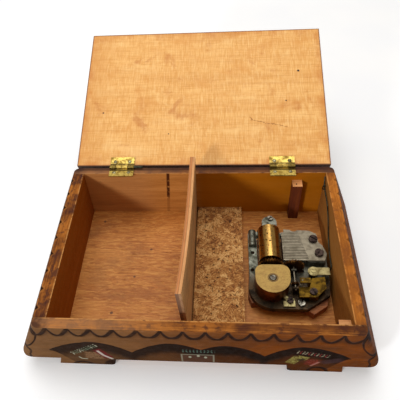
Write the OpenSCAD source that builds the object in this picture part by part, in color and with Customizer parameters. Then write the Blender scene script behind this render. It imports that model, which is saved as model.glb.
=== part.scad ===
// Small wooden cylinder music box, standing open.
// Case frame: X to the right, Y to the back, Z up, centred on the case, Z = 0 on the table.
// Every module draws in the case frame and in_row() moves it to the row's origin.

/* [Case] */
// Width of the case across its rim
case_w = 154; // [146:1:170]
// Depth of the case across its rim
case_d = 108; // [100:1:120]
// Height of the rim above the table
rim_z = 42.5; // [40:0.5:50]
// How far the left end leans out between the rim and the lower edge
flare_l = 16.2; // [8:0.2:18]
// How far the right end leans out over the same height
flare_r = 14; // [8:0.2:18]
// How far the front and back faces lean in over the same height
face_lean = 1.7; // [0:0.1:2.5]
// Thickness of the left end wall at the rim
end_l_t = 6.4; // [5:0.1:7]
// Thickness of the right end wall at the rim
end_r_t = 5; // [4.5:0.1:7]
// Radius of the corners of the rim, seen from above
plan_r = 3.2; // [1:0.1:4]
// Thickness of the front board at the rim
front_t = 5.5; // [5:0.1:7]
// Thickness of the back board at the rim
back_t = 5; // [4.5:0.1:7]
// Height of the lower edge of the walls, which is the height of the feet
foot_h = 7; // [6:0.5:9]
// Distance of the left feet's inner ends from the middle
foot_in_l = 43; // [38:0.5:50]
// Distance of the right feet's inner ends from the middle
foot_in_r = 45.5; // [38:0.5:50]
// Distance of each foot's outer end from the middle, on the table
foot_out = 73.3; // [66:0.1:76]
// Radius of the rounded lower corners
corner_r = 5; // [4:0.5:8]
// Height of the inside floor
floor_z = 8.8; // [8:0.1:10]
// Thickness of the bottom panel
floor_t = 3; // [2.5:0.1:3.5]

/* [Lid] */
// Width of the lid board
lid_w = 151.5; // [145:0.5:154]
// Depth of the lid board
lid_d = 101; // [96:0.5:104]
// Thickness of the lid board
lid_t = 4; // [3:0.5:5]
// Angle by which the lid stands open
lid_open = 161.2; // [90:0.2:165]

/* [Hinges] */
// Width of each hinge
hinge_w = 14.6; // [12:0.2:18]
// Distance of each hinge's middle from the middle of the case
hinge_x = 47.6; // [40:0.2:55]
// Length by which the left hinge's pin sticks out
pin_out = 5.2; // [0:0.2:7]

/* [Loose and inner wood] */
// Height of the loose plywood panel
panel_h = 47; // [32:0.5:48]
// Length of the loose plywood panel
panel_l = 91.3; // [85:0.1:96]
// Thickness of the loose plywood panel
panel_t = 3; // [2.5:0.1:3.5]
// Lean of the loose panel to the left
panel_lean = 0.8; // [0:0.1:6]
// Width of the chipboard strip
chip_w = 27.2; // [20:0.1:28]
// Thickness of the chipboard strip
chip_t = 4.2; // [3:0.1:5]
// Side of the square posts
post_s = 5.6; // [4:0.1:7]
// Height of the posts' tops
post_top = 36.8; // [34:0.1:39]

/* [Movement] */
// Thickness of the packing board under the movement
packing_t = 5; // [4:0.5:6]
// Radius of the pinned cylinder
cyl_r = 6.3; // [5.8:0.1:6.5]
// Number of teeth on the comb
comb_teeth = 18; // [14:1:20]
// Number of crown teeth on the great wheel
great_n = 44; // [44]
// Half the width of the spring housing
housing_r = 9.1; // [9:0.1:9.2]

/* [Hidden] */

$fn = 48;
half_w = case_w / 2;
half_d = case_d / 2;
in_l = -half_w + end_l_t;         // inner face of the left end wall
in_r = half_w - end_r_t;          // inner face of the right end wall
in_front = -half_d + front_t;     // inner face of the front board
in_back = half_d - back_t;        // inner face of the back board
wall_h = rim_z - foot_h;
lean_rate = face_lean / wall_h;
foot_r = 2.5;                     // rounded inner corner of a foot
foot_lean_l = 2.1;                // lean of the left feet's outer ends
foot_lean_r = 0.9;

leaf_t = 0.7;
knuckle_r = 1.1;
pin_r = 0.65;
pin_bore_r = 0.7;
knuckle_gap = 0.2;
knuckle_l = (hinge_w - 3 * knuckle_gap) / 4;
axis_y = half_d - 0.6;            // lid hinge axis
axis_z = rim_z + 1.3;
lid_face_dz = 1.15;               // inside face of the shut lid above the axis
lid_back_dy = -1.6;               // back edge of the shut lid from the axis
leaf_reach = 7;                   // from the axis to a leaf's far edge
nail_dy = -3.9;                   // nails from the axis
nail_dx = 4.4;                    // nails from the leaf's middle

move_x = 39.3;                    // axis of cylinder and barrel
barrel_y = -13;
base_z = floor_z + packing_t;
base_t = 3;
base_top = base_z + base_t;
cyl_z = base_z + 7.4;             // height of the cylinder's axis
cyl_back = 22.8;
cyl_front = 0.6;
gear_pitch = PI / 2;              // circular pitch of every wheel
great_r = great_n * gear_pitch / (2 * PI);
cyl_gear_n = 26;
cyl_gear_r = cyl_gear_n * gear_pitch / (2 * PI);
gov_gear_n = 22;
gov_gear_r = gov_gear_n * gear_pitch / (2 * PI);
gear_y = barrel_y + great_r;      // middle plane of the cylinder's gear
gear_t = 1.2;
tooth_h = 0.4;                    // tooth above and below the pitch circle
gov_x = move_x + cyl_gear_r + gov_gear_r;
worm_wheel_r = 2.1;
worm_wheel_n = 12;
worm_wheel_y = -13.4;
worm_r = 1.1;
worm_l = 4.8;
worm_x = gov_x + worm_wheel_r + worm_r + 0.1;
arbor_r = 1.5;
pivot_r = 0.5;
worm_pivot_r = 0.38;
fit = 0.05;                       // running clearance on a radius
ear_x = 40;                       // raised bearing behind the cylinder
ear_y = 28.4;
ear_r = 4.2;
rib_r = 2.2;
housing_top = base_top + 9.6;
housing_flat = 8.4;               // from the barrel's axis to the housing's flat side
ratchet_n = 24;
ratchet_r = 7.6;
click_x = 48.4;
click_y = -21.7;
comb_z = cyl_z - 0.2;
comb_tip = move_x + cyl_r + 0.75;
rivet_x = 61.5;
rivet_y = -5.5;
lever_z = comb_z + 0.2;
wire_x = in_r - 0.75;
wire_r = 0.35;
staple_y = 42.6;
staple_z = 36.9;
tiny = 0.01;

wood = "peru";
dark_wood = "saddlebrown";
steel = "silver";
brass = "goldenrod";
zinc = "slategray";

// The row's origin is the middle of the bounding box's base, with the lid open.
lid_tip_y = axis_y + (lid_back_dy - lid_d) * cos(lid_open)
    + (lid_face_dz + lid_t) * sin(lid_open);
row_y = -(lid_tip_y - half_d) / 2;
row_x = (end_reach(flare_l) - end_reach(flare_r)) / 2;
module in_row() translate([row_x, row_y, 0]) children();

function arc(c, r, a0, a1, n) = [for (i = [0:n]) let (a = a0 + (a1 - a0) * i / n)
    [c[0] + r * cos(a), c[1] + r * sin(a)]];

// ---- case ----

// Furthest point of a rounded lower corner, for an end with the given flare.
function end_reach(flare) = half_w + flare
    - corner_r / tan(45 - atan(flare / wall_h) / 2) + corner_r;

// Half of the end-to-end outline, up to the leaning end and its rounded lower corner.
function half_outline(flare) = concat([[0, foot_h]],
    arc([end_reach(flare) - corner_r, foot_h + corner_r], corner_r, -90, atan(flare / wall_h), 10),
    [[half_w, rim_z], [0, rim_z]]);

module foot_outline(inner, lean) polygon(concat(
    [[foot_out, 0], [foot_out - lean, foot_h], [foot_out - lean, foot_h + 1],
        [inner, foot_h + 1]],
    arc([inner + foot_r, foot_r], foot_r, 180, 270, 6)));

module half_board(flare, inner, lean) {
    polygon(half_outline(flare));
    foot_outline(inner, lean);
}

module board_outline() {
    half_board(flare_r, foot_in_r, foot_lean_r);
    mirror([1, 0, 0]) half_board(flare_l, foot_in_l, foot_lean_l);
}

// Rounds the slanting corner at the right-hand end of the front board.
module corner_cut(flare) translate([half_w, -half_d, rim_z])
    rotate([atan(lean_rate), -atan(flare / wall_h), 0]) translate([0, 0, -wall_h - 8])
        linear_extrude(wall_h + 12) difference() {
            translate([-plan_r, -1]) square([plan_r + 1, plan_r + 1]);
            translate([-plan_r, plan_r]) circle(r = plan_r);
        }

// The front board: an upright board cut to the outline, with one leaning face.
module long_board(thick) difference() {
    intersection() {
        translate([0, half_d + 1, 0]) rotate([90, 0, 0])
            linear_extrude(case_d + 2) board_outline();
        rotate([90, 0, 90]) translate([0, 0, -case_w]) linear_extrude(2 * case_w)
            polygon([[-half_d, rim_z], [thick - half_d, rim_z], [thick - half_d, 0],
                [lean_rate * rim_z - half_d, 0]]);
    }
    corner_cut(flare_r);
    mirror([1, 0, 0]) corner_cut(flare_l);
}

module front_board() color(dark_wood) in_row() long_board(front_t);
module back_board() color(dark_wood) in_row() mirror([0, 1, 0]) long_board(back_t);

module end_wall(flare, thick) translate([0, in_back, 0]) rotate([90, 0, 0])
    linear_extrude(in_back - in_front) difference() {
        polygon(half_outline(flare));
        translate([-1, 0]) square([half_w - thick + 1, rim_z + 1]);
    }
module end_wall_l() color(wood) in_row() mirror([1, 0, 0]) end_wall(flare_l, end_l_t);
module end_wall_r() color(wood) in_row() end_wall(flare_r, end_r_t);

screw_spots = [[30.5, 16], [62, -12], [60, 8]];

module bottom_panel() color(wood) in_row() difference() {
    translate([in_l, in_front, floor_z - floor_t])
        cube([in_r - in_l, in_back - in_front, floor_t]);
    translate([move_x, barrel_y, 0]) cylinder(r = 2.4, h = floor_z + 1);
    for (p = screw_spots) translate([p[0], p[1], 0]) cylinder(r = 1.35, h = floor_z + 1);
}

// ---- lid and hinges ----

module open_lid() in_row() translate([0, axis_y, axis_z]) rotate([-lid_open, 0, 0]) children();

// Inside open_lid() the axis is the origin and the lid is drawn shut.
module lid_board() color("burlywood") open_lid()
    translate([-lid_w / 2, lid_back_dy - lid_d, lid_face_dz]) cube([lid_w, lid_d, lid_t]);

module knuckle(x) translate([x, 0, 0]) rotate([0, 90, 0]) cylinder(r = knuckle_r, h = knuckle_l);

// A leaf below the axis, with knuckles at the given places and notches at the others.
module leaf(middle, plate_z, first) {
    step = knuckle_l + knuckle_gap;
    left = middle - hinge_w / 2;
    notch = knuckle_r + knuckle_gap;
    difference() {
        union() {
            translate([left, -leaf_reach, plate_z])
                cube([hinge_w, leaf_reach - notch, leaf_t]);
            for (i = [first, first + 2]) {
                knuckle(left + i * step);
                translate([left + i * step, -notch - tiny, plate_z])
                    cube([knuckle_l, notch + tiny, leaf_t]);
            }
        }
        translate([left - 1, 0, 0]) rotate([0, 90, 0])
            cylinder(r = pin_bore_r, h = hinge_w + 2);
        for (s = [-1, 1]) translate([middle + s * nail_dx, nail_dy, plate_z - 1])
            cylinder(r = 0.6, h = leaf_t + 2);
    }
}

module box_leaf(middle) color(brass) in_row() translate([0, axis_y, axis_z])
    leaf(middle, rim_z - axis_z, 0);
module lid_leaf(middle) color(brass) open_lid()
    leaf(middle, lid_face_dz - leaf_t, 1);
module hinge_leaf_box_l() box_leaf(-hinge_x);
module hinge_leaf_box_r() box_leaf(hinge_x);
module hinge_leaf_lid_l() lid_leaf(-hinge_x);
module hinge_leaf_lid_r() lid_leaf(hinge_x);

module hinge_pin(middle, extra) color(zinc) in_row()
    translate([middle - hinge_w / 2, axis_y, axis_z]) rotate([0, 90, 0])
        cylinder(r = pin_r, h = hinge_w + extra);
module hinge_pin_l() hinge_pin(-hinge_x, pin_out);
module hinge_pin_r() hinge_pin(hinge_x, 0);

// A round-headed nail whose head sits at z = 0 and whose shank points down.
module nail() {
    intersection() {
        translate([0, 0, -1.2]) sphere(r = 1.65);
        cylinder(r = 1.2, h = 0.4);
    }
    translate([0, 0, -leaf_t]) cylinder(r = 0.55, h = leaf_t + tiny);
}
module hinge_nails_box() color(steel) in_row() translate([0, axis_y, rim_z + leaf_t])
    for (m = [-hinge_x, hinge_x], s = [-1, 1]) translate([m + s * nail_dx, nail_dy, 0]) nail();
module hinge_nails_lid() color(steel) open_lid() translate([0, 0, lid_face_dz - leaf_t])
    for (m = [-hinge_x, hinge_x], s = [-1, 1]) translate([m + s * nail_dx, nail_dy, 0])
        rotate([180, 0, 0]) nail();

// ---- loose and inner wood ----

panel_foot_x = -6.3;              // lower left edge of the loose panel
panel_foot_z = floor_z + 0.1;
module loose_panel() color(wood) in_row()
    translate([panel_foot_x, in_back - 0.3, panel_foot_z]) rotate([0, -panel_lean, 0])
        translate([0, -panel_l, 0]) cube([panel_t, panel_l, panel_h]);

chip_x = -2.5;
module chip_strip() color("tan") in_row()
    translate([chip_x, in_front, floor_z]) cube([chip_w, in_back - in_front, chip_t]);

module post(x, y, hole_x, hole_y) color(wood) in_row() difference() {
    translate([x, y, floor_z]) cube([post_s, post_s, post_top - floor_z]);
    translate([x + hole_x, y + hole_y, post_top - 5]) cylinder(r = 0.5, h = 6);
}
module post_back() post(53.5, in_back - post_s, 2.2, 2.2);
module post_front() post(in_r - post_s, in_front, 2.6, 2.6);

// A skewed offcut whose right end is cut off by the end wall.
packing_points = [[27, -16], [28.6, -21], [33, -20.6], [52, -20.4], [60.7, -27.2],
    [68.2, -21.8], [70.2, -12], [70.2, 6], [62, 20], [29, 22]];
module packing_board() color("sienna") in_row() difference() {
    translate([0, 0, floor_z]) linear_extrude(packing_t) polygon(packing_points);
    translate([move_x, barrel_y, floor_z - 1]) cylinder(r = 2.4, h = packing_t + 2);
    for (p = screw_spots) translate([p[0], p[1], floor_z - 1])
        cylinder(r = 1.35, h = packing_t + 2);
}

// ---- movement: frame ----

module base_outline() {
    translate([40.2, barrel_y]) circle(r = 13, $fn = 96);
    polygon([[40.2, barrel_y - 13], [57, barrel_y - 13], [69.8, -17], [70.6, -8], [70.6, 6.4],
        [68.8, 12.4], [67, 15], [66.4, 21], [62, 24.5], [45.6, 25], [44.6, 29.6], [42.6, 32.2],
        [38.4, 32.2], [36, 29.6], [34.6, 25.6], [28.6, 26.4], [27.8, 24.5], [27.8, -6],
        [27.2, barrel_y]]);
}

module movement_base() color(zinc) in_row() difference() {
    union() {
        translate([0, 0, base_z]) linear_extrude(base_t) base_outline();
        // bearing ear behind the cylinder, and the small one before it
        translate([ear_x, ear_y, base_top - tiny]) {
            cylinder(r = ear_r, h = cyl_z + 1.6 - base_top);
            translate([-ear_r, 24.2 - ear_y, 0])
                cube([2 * ear_r, ear_y - 24.2, cyl_z + 1.6 - base_top]);
        }
        translate([move_x - 1.8, -4, base_top - tiny]) cube([3.6, 0.8, cyl_z + 1.6 - base_top]);
        // two bearings of the governor's arbor
        for (y = [-5.4, -16.8]) translate([gov_x - 1.3, y, base_top - tiny])
            cube([2.6, 1, cyl_z + 1.2 - base_top]);
        // rib along the left edge and the seat of the comb
        translate([30.2, 14.8, base_top - tiny]) rotate([-90, 0, 0]) intersection() {
            cylinder(r = rib_r, h = 11);
            translate([-rib_r, -rib_r, 0]) cube([2 * rib_r, rib_r, 11]);
        }
        translate([0, 0, base_top - tiny]) linear_extrude(comb_z - base_top)
            polygon([[59.5, 1.2], [68.8, 1.2], [70.4, 6.4], [68.6, 12.2], [66.8, 14.4],
                [66.2, 20.4], [59.5, 22.4]]);
        // pillar of the stop lever
        translate([rivet_x, rivet_y, base_top - tiny])
            cylinder(r = 2, h = lever_z - base_top - 0.1);
    }
    // window under the cylinder and its gear
    translate([32.6, gear_y - 1.1, base_z - 1]) cube([14.4, cyl_back + 1.2 - gear_y, 9]);
    // slot under the governor gear
    translate([gov_x - gov_gear_r - 0.8, gear_y - 1.1, base_z - 1])
        cube([2 * gov_gear_r + 1.6, 2.2, base_t + 2]);
    // pocket of the great wheel
    translate([move_x, barrel_y, base_z - 1]) cylinder(r = great_r + 0.7, h = 3.1, $fn = 96);
    translate([move_x, barrel_y, base_z]) cylinder(r = arbor_r + fit, h = base_t + 1);
    translate([move_x, -6, cyl_z]) rotate([-90, 0, 0]) cylinder(r = 1 + fit, h = 35.2);
    translate([gov_x, -20, cyl_z]) rotate([-90, 0, 0]) cylinder(r = pivot_r + fit, h = 18);
    translate([worm_x, worm_wheel_y, base_z + 1]) cylinder(r = worm_pivot_r + fit, h = base_t);
    for (p = concat(screw_spots, [[30.1, 10.4], [29.6, -1.6]]))
        translate([p[0], p[1], base_z - 1]) cylinder(r = 1.1, h = base_t + 2);
    translate([54.2, -22.5, base_z - 1]) cylinder(r = 1.1, h = base_t + 2);
    translate([40.7, 30.8, base_z + 3.5]) cylinder(r = 1.1, h = 9);
    translate([rivet_x, rivet_y, base_top - 1]) cylinder(r = 0.9, h = 8);
    for (p = comb_screw_spots) translate([p[0], p[1], base_top]) cylinder(r = 1.1, h = 8);
    translate([click_x, click_y, base_top - 2]) cylinder(r = 1, h = 4);
    translate([bracket_screw_x, bracket_screw_y, base_top - 2]) cylinder(r = 1, h = 4);
}

// Three screws that hold the movement from below the bottom panel.
module movement_screws() color(steel) in_row() for (p = screw_spots)
    translate([p[0], p[1], floor_z - floor_t - 1.2]) {
        difference() {
            cylinder(r = 2.6, h = 1.2);
            translate([-3, -0.35, -tiny]) cube([6, 0.7, 0.6]);
        }
        cylinder(r = 1.05, h = base_z + 2.4 - (floor_z - floor_t - 1.2));
    }

// A cheese-headed screw: head at z = 0 upwards, shank downwards.
module cheese_screw(head_r, head_h, shank_r, shank_l, turn) {
    difference() {
        cylinder(r = head_r, h = head_h);
        rotate(turn) translate([-head_r - 1, -0.35, head_h - 0.7])
            cube([2 * head_r + 2, 0.7, 1]);
    }
    translate([0, 0, -shank_l]) cylinder(r = shank_r, h = shank_l + tiny);
}
module ear_screw() color(steel) in_row() translate([40.7, 30.8, cyl_z + 1.6])
    cheese_screw(1.6, 1, 1.05, 4.6, 20);
module corner_screw() color(steel) in_row() translate([54.2, -22.5, base_top])
    cheese_screw(1.9, 1.2, 1.05, 2.6, 70);

// ---- movement: cylinder, comb ----

module cylinder_barrel() color(brass) in_row()
    translate([move_x, cyl_front, cyl_z]) rotate([-90, 0, 0]) difference() {
        cylinder(r = cyl_r, h = cyl_back - cyl_front, $fn = 72);
        translate([0, 0, 0.8]) cylinder(r = cyl_r - 0.8, h = cyl_back - cyl_front - 1.6);
        translate([0, 0, -1]) cylinder(r = 1, h = cyl_back - cyl_front + 2);
    }

comb_pitch = 19.8 / comb_teeth;
function track_y(i) = cyl_front + 1 + (i + 0.5) * comb_pitch;
module cylinder_pins() color(steel) in_row() for (i = [0:comb_teeth - 1], k = [0:2])
    translate([move_x, track_y(i), cyl_z])
        rotate([0, 40 + k * 120 + (i * 67 + k * k * 31) % 97, 0])
            translate([0, 0, cyl_r]) cylinder(r = 0.2, h = 0.45, $fn = 14);

module cylinder_arbor() color(steel) in_row()
    translate([move_x, -4, cyl_z]) rotate([-90, 0, 0]) cylinder(r = 1, h = 32.4);

// Flat gear about Z, with one tooth pointing along +X.
function gear_points(n, r) = [for (i = [0:n - 1], k = [0:3])
    let (step = 360 / n, a = i * step + [-0.27, -0.13, 0.13, 0.27][k] * step,
        rr = r + [-tooth_h - 0.2, tooth_h, tooth_h, -tooth_h - 0.2][k])
    [rr * cos(a), rr * sin(a)]];
module gear(n, r, t, bore) linear_extrude(t) difference() {
    polygon(gear_points(n, r));
    circle(r = bore);
}

module cylinder_gear() color(brass) in_row()
    translate([move_x, gear_y - gear_t / 2, cyl_z]) rotate([-90, 0, 0])
        rotate(90) gear(cyl_gear_n, cyl_gear_r, gear_t, 1);

comb_screw_spots = [[63.7, 16], [65.9, 6.4]];
comb_lo = cyl_front + 1;
comb_hi = comb_lo + comb_teeth * comb_pitch;
module comb() color(steel) in_row() difference() {
    translate([0, 0, comb_z]) linear_extrude(1) difference() {
        polygon([[comb_tip, comb_lo], [68.6, comb_lo], [70.2, 6.4], [68.4, 12], [66.6, 14.2],
            [66, 20.2], [62, 22.6], [comb_tip + 1.5, 23.4], [comb_tip + 1.5, comb_hi],
            [comb_tip, comb_hi]]);
        translate([53.5, 24.6]) circle(r = 2.6);
    }
    for (i = [1:comb_teeth])
        translate([comb_tip - 1, comb_lo + i * comb_pitch - 0.15, comb_z - 1])
            cube([15 - i * 0.25, 0.3, 3]);
    for (p = comb_screw_spots) translate([p[0], p[1], comb_z - 1]) cylinder(r = 1.1, h = 3);
}
module comb_screws() color(zinc) in_row() for (p = comb_screw_spots)
    translate([p[0], p[1], comb_z + 1]) cheese_screw(2.4, 1.5, 1.05, 3, p[1] * 9);

// ---- movement: spring and winding ----

housing_wall = 0.6;
housing_corner = 4.4;             // radius of the two corners beside the flat side
// A half circle in front and a rounded square behind, drawn in by an inset.
module housing_shape(inset) let (c = housing_corner, r = housing_r)
    polygon(concat(arc([0, 0], r - inset, 180, 360, 36),
        arc([r - c, housing_flat - c], c - inset, 0, 90, 8),
        arc([c - r, housing_flat - c], c - inset, 90, 180, 8)));
module spring_housing() color(brass) in_row() difference() {
    translate([move_x, barrel_y, base_top])
        linear_extrude(housing_top - base_top) housing_shape(0);
    translate([move_x, barrel_y, base_top - 1])
        linear_extrude(housing_top - base_top + 1 - housing_wall) housing_shape(housing_wall);
    translate([move_x, barrel_y, base_top]) cylinder(r = 1.9, h = 12);
    translate([click_x, click_y, base_top - 1]) rotate(136) translate([0, -2.4, 0])
        cube([6, 4.8, 2.4]);
}

spring_turns = 5;
function spiral(t) = let (r = 2.4 + (housing_r - 4.7) * t, a = t * spring_turns * 360)
    [r * cos(a), r * sin(a)];
module mainspring() color(zinc) in_row() translate([move_x, barrel_y, base_top + 1.2])
    linear_extrude(6.4) polygon(concat(
        [for (i = [0:150]) spiral(i / 150)],
        [for (i = [150:-1:0]) let (p = spiral(i / 150)) p * (1 - 0.35 / norm(p))]));

wheel_t = 0.35;
crown_h = 0.7;
crown_t = 0.5;                    // thickness of one crown tooth
module great_wheel() color(brass) in_row() translate([move_x, barrel_y, base_z + 0.08]) {
    difference() {
        cylinder(r = great_r + 0.5, h = wheel_t, $fn = 96);
        translate([0, 0, -1]) cylinder(r = arbor_r + fit, h = 3);
    }
    for (i = [0:great_n - 1]) rotate((i + 0.5) * 360 / great_n)
        translate([great_r - 0.7, -crown_t / 2, wheel_t - tiny])
            cube([1.2, crown_t, crown_h + tiny]);
}

module winding_arbor() color(steel) in_row() translate([move_x, barrel_y, 1.4])
    cylinder(r = arbor_r, h = housing_top + 0.3 - 1.4);

module ratchet_wheel() color(steel) in_row() translate([move_x, barrel_y, base_top + 0.15])
    linear_extrude(0.8) difference() {
        polygon([for (i = [0:ratchet_n - 1], k = [0:1])
            let (a = (i + k * 0.9) * 360 / ratchet_n - 45, r = ratchet_r - k * 0.8)
            [r * cos(a), r * sin(a)]]);
        circle(r = arbor_r);
    }

module winding_key() color(steel) in_row() translate([move_x, barrel_y, 0]) difference() {
    union() {
        translate([0, 0, 1]) cylinder(r = 3, h = 4.2);
        for (s = [0, 180]) rotate(s) {
            translate([0, -0.7, 1.2]) cube([8.2, 1.4, 3.6]);
            translate([8.2, 0.7, 3]) rotate([90, 0, 0]) cylinder(r = 1.8, h = 1.4);
        }
    }
    cylinder(r = arbor_r, h = 8);
}

// The click's nose reaches through the housing's slot, short of the ratchet's teeth.
module click() color(brass) in_row() translate([click_x, click_y, base_top + 0.15]) difference() {
    union() {
        cylinder(r = 2.3, h = 0.7);
        rotate(136) translate([0, -1.1, 0]) cube([4.6, 2.2, 0.7]);
        translate([-3.6, -3.2, 0]) cube([6, 3.2, 0.7]);
    }
    translate([0, 0, -1]) cylinder(r = 0.9 + fit, h = 3);
}
module click_screw() color(zinc) in_row() translate([click_x, click_y, base_top + 1])
    cheese_screw(1.7, 1, 0.9, 2.6, 30);

// ---- movement: governor and stop ----

bracket_screw_x = 60.3;
bracket_screw_y = -18;
plate_dz = 3;                     // underside of the bracket's plate above the base
arm_dz = 7.4;                     // underside of the arm that holds the worm
module governor_bracket() color(brass) in_row() difference() {
    translate([0, 0, base_top]) union() {
        translate([58.2, -20.8, 0]) cube([4.4, 5.4, plate_dz + 1]);
        translate([0, 0, plate_dz]) linear_extrude(1) polygon([[53, -21], [61.9, -21],
            [67.3, -15.4], [67.3, -8.3], [60.6, -9.3], [57.6, -14.8], [53, -15.2]]);
        translate([57.8, -14.9, plate_dz]) cube([1, 3, arm_dz + 0.9 - plate_dz]);
        translate([worm_x - 1.3, -14.9, arm_dz]) cube([58.8 - worm_x + 1.3, 3, 0.9]);
    }
    translate([worm_x, worm_wheel_y, base_top + arm_dz - 1])
        cylinder(r = worm_pivot_r + fit, h = 3);
    translate([bracket_screw_x, bracket_screw_y, base_top - 1]) cylinder(r = 0.95, h = 6);
}
module bracket_screw() color(zinc) in_row()
    translate([bracket_screw_x, bracket_screw_y, base_top + plate_dz + 1])
        cheese_screw(2, 1.2, 0.95, 5.5, 110);

module governor_arbor() color(steel) in_row()
    translate([gov_x, -17.2, cyl_z]) rotate([-90, 0, 0]) cylinder(r = pivot_r, h = 16.4);
module governor_gear() color(brass) in_row()
    translate([gov_x, gear_y - gear_t / 2, cyl_z]) rotate([-90, 0, 0])
        rotate(180) gear(gov_gear_n, gov_gear_r, gear_t, pivot_r);
module worm_wheel() color(brass) in_row()
    translate([gov_x, worm_wheel_y - 0.6, cyl_z]) rotate([-90, 0, 0])
        gear(worm_wheel_n, worm_wheel_r - tooth_h, 1.2, pivot_r);

module worm() color(steel) in_row() translate([worm_x, worm_wheel_y, cyl_z]) {
    for (s = [-1, 1]) translate([0, 0, s > 0 ? worm_l / 2 - tiny : base_z + 1.6 - cyl_z])
        cylinder(r = worm_pivot_r, h = s > 0 ? base_top + arm_dz + 1.1 - cyl_z - worm_l / 2
            : cyl_z - worm_l / 2 + tiny - base_z - 1.6);
    translate([0, 0, -worm_l / 2]) linear_extrude(worm_l, twist = -1080, slices = 36)
        translate([0.35, 0]) circle(r = worm_r - 0.35, $fn = 14);
}
module fly() color(brass) in_row() translate([worm_x, worm_wheel_y, base_top + 0.5]) difference() {
    union() {
        cylinder(r = 1.2, h = 1);
        for (s = [0, 180]) rotate(s + 60) translate([0.5, -0.25, 0]) cube([2.3, 0.5, 1]);
    }
    translate([0, 0, -1]) cylinder(r = worm_pivot_r, h = 4);
}

module stop_lever() color(brass) in_row() translate([0, 0, lever_z]) difference() {
    linear_extrude(lever_t) union() {
        translate([rivet_x, rivet_y]) circle(r = 2.9);
        translate([rivet_x, rivet_y - 2.2]) square([8.6, 4.6]);
    }
    translate([rivet_x, rivet_y, -1]) cylinder(r = 0.8 + fit, h = 3);
}
lever_t = 0.8;
module lever_rivet() color(steel) in_row() translate([rivet_x, rivet_y, base_top - 0.9]) {
    cylinder(r = 0.8, h = lever_z + lever_t + 1 - base_top);
    translate([0, 0, lever_z + lever_t + 0.95 - base_top]) cylinder(r = 1.2, h = 0.4);
}

// Bent spring wire along the right-hand wall: [y, z] of its bends.
wire_bends = [[46.2, 41.8], [43.3, 37.6], [41.2, 36.6], [32.4, 36.7], [27.8, 35.6],
    [21.8, 32.4], [13.6, 26.2], [5, 22.9], [-2.2, 22.6], [-2.7, 22], [-2.7, 19.2]];
module rod(a, b) {
    d = b - a;
    translate(a) rotate([0, acos(d[2] / norm(d)), atan2(d[1], d[0])])
        cylinder(r = wire_r, h = norm(d), $fn = 16);
}
module stop_wire() color("dimgray") in_row() for (i = [0:len(wire_bends) - 1]) {
    here = [wire_x, wire_bends[i][0], wire_bends[i][1]];
    translate(here) sphere(r = wire_r * 1.12, $fn = 16);
    if (i > 0) rod([wire_x, wire_bends[i - 1][0], wire_bends[i - 1][1]], here);
}

module wire_staple() color("dimgray") in_row() translate([in_r, staple_y, staple_z]) {
    for (s = [-1, 1]) translate([-1.65, 0, s * 1.3]) rotate([0, 90, 0])
        cylinder(r = 0.3, h = 1.65, $fn = 16);
    translate([-1.65, 0, -1.3]) cylinder(r = 0.3, h = 2.6, $fn = 16);
}

front_board();
back_board();
end_wall_l();
end_wall_r();
bottom_panel();
lid_board();
hinge_leaf_box_l();
hinge_leaf_box_r();
hinge_leaf_lid_l();
hinge_leaf_lid_r();
hinge_pin_l();
hinge_pin_r();
hinge_nails_box();
hinge_nails_lid();
loose_panel();
chip_strip();
post_back();
post_front();
packing_board();
movement_base();
movement_screws();
ear_screw();
corner_screw();
cylinder_barrel();
cylinder_pins();
cylinder_arbor();
cylinder_gear();
comb();
comb_screws();
spring_housing();
mainspring();
great_wheel();
winding_arbor();
ratchet_wheel();
winding_key();
click();
click_screw();
governor_bracket();
bracket_screw();
governor_arbor();
governor_gear();
worm_wheel();
worm();
fly();
stop_lever();
lever_rivet();
stop_wire();
wire_staple();
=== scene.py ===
import math
import random

import bpy
from mathutils import Matrix, Vector


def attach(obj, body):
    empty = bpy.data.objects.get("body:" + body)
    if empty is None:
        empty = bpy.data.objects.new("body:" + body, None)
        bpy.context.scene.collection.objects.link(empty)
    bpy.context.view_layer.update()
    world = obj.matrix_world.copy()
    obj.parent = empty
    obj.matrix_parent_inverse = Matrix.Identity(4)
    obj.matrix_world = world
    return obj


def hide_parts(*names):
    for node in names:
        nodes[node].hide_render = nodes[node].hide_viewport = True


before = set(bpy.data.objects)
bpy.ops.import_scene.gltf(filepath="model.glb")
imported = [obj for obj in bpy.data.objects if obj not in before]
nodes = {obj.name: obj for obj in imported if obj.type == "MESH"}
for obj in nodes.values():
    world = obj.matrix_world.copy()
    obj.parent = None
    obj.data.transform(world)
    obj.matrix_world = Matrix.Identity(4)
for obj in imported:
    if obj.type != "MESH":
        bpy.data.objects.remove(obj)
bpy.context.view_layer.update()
random.seed(7)

# The case's own frame: millimetres, y = 0 in the middle of the case.
CASE_X, CASE_Y = 0.884, 49.093
HALF_W, HALF_D, RIM = 77.0, 54.0, 42.5
FLARE_L, FLARE_R, WALL_H = 16.2, 14.0, 35.5
AXIS_Y, AXIS_Z, LID_OPEN = 53.4, 43.8, math.radians(161.2)
LID_BACK = -1.6
LID_HALF_W, LID_DEPTH = 75.75, 101.0
HINGE_X = 47.6
SPRING_AXIS = (39.3, -13.0, 0)
# widths of one burned arc along the front and back, the ends and the lid
FRONT_PITCH, END_PITCH, LID_PITCH = 10.27, 10.8, 10.1


def mm(x, y, z):
    """A point of the case's frame in the row's frame, in metres."""
    return Vector((x + CASE_X, y - CASE_Y, z)) / 1000


def srgb(r, g, b):
    """Linear colour of a display colour given as 0 to 255."""
    lin = [c / 255 / 12.92 if c <= 10 else ((c / 255 + 0.055) / 1.055) ** 2.4 for c in (r, g, b)]
    return (*lin, 1)


# ---- materials ----


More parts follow.
